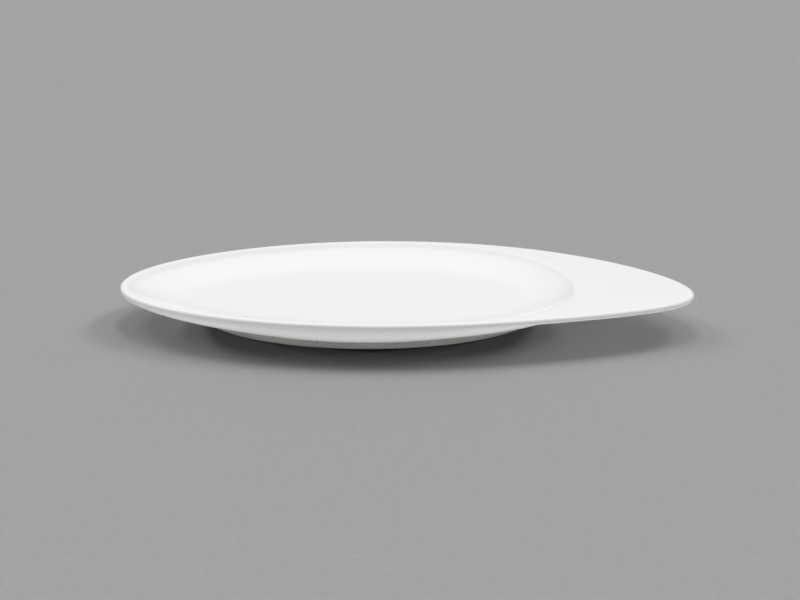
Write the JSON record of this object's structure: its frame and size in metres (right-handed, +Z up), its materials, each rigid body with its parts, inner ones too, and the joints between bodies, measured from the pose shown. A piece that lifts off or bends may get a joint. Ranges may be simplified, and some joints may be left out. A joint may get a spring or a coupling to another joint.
{
  "type": "asymmetric oval plate",
  "caption": "Asymmetric oval serving plate in glazed porcelain with a shallow well, a flat swept tail to lift it by, and a bare foot ring.",
  "frame": {"origin": "on the table, below the middle of the box round the plate's outline", "axes": "+X along the plate from its broad end toward the tip of its tail, +Y toward the back, away from the viewer in the picture, +Z up out of the well"},
  "size_m": [0.381, 0.228, 0.0215],
  "materials": {
    "glaze": "gloss",
    "bare_foot": "matte"
  },
  "bodies": {
    "root": {"plate_body": "glaze", "foot_ring": "bare_foot"}
  },
  "joints": []
}
